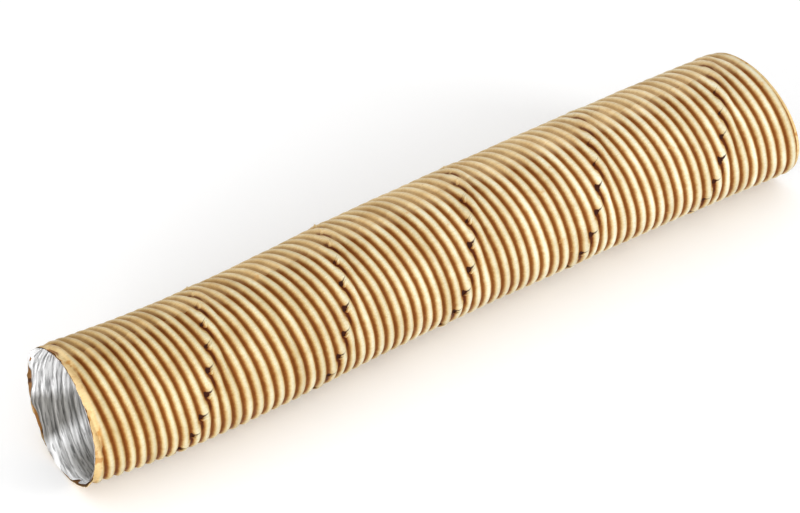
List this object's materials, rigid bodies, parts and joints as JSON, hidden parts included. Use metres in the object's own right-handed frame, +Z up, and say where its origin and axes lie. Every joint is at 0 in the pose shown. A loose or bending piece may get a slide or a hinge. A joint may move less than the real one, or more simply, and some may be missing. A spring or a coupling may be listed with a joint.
{
  "type": "flexible air duct",
  "caption": "Self-supporting corrugated air duct of kraft paper wound over an aluminium liner, open and square-cut at both ends.",
  "frame": {"origin": "centre of the bounding box's base: the middle of the duct's length, on the surface that the duct lies on", "axes": "+X along the duct, from the near end that is open to the camera in the picture to the far end; +Z up"},
  "size_m": [0.5, 0.0912, 0.0821],
  "materials": {
    "kraft_outside": "pale golden kraft paper, lightly waxed",
    "kraft_inside": "plain brown kraft paper",
    "foil": "crinkled soft aluminium strip"
  },
  "bodies": {
    "root": {"kraft_outer_strip": "kraft_outside", "kraft_inner_strip": "kraft_inside", "aluminium_strip": "foil"}
  },
  "joints": []
}
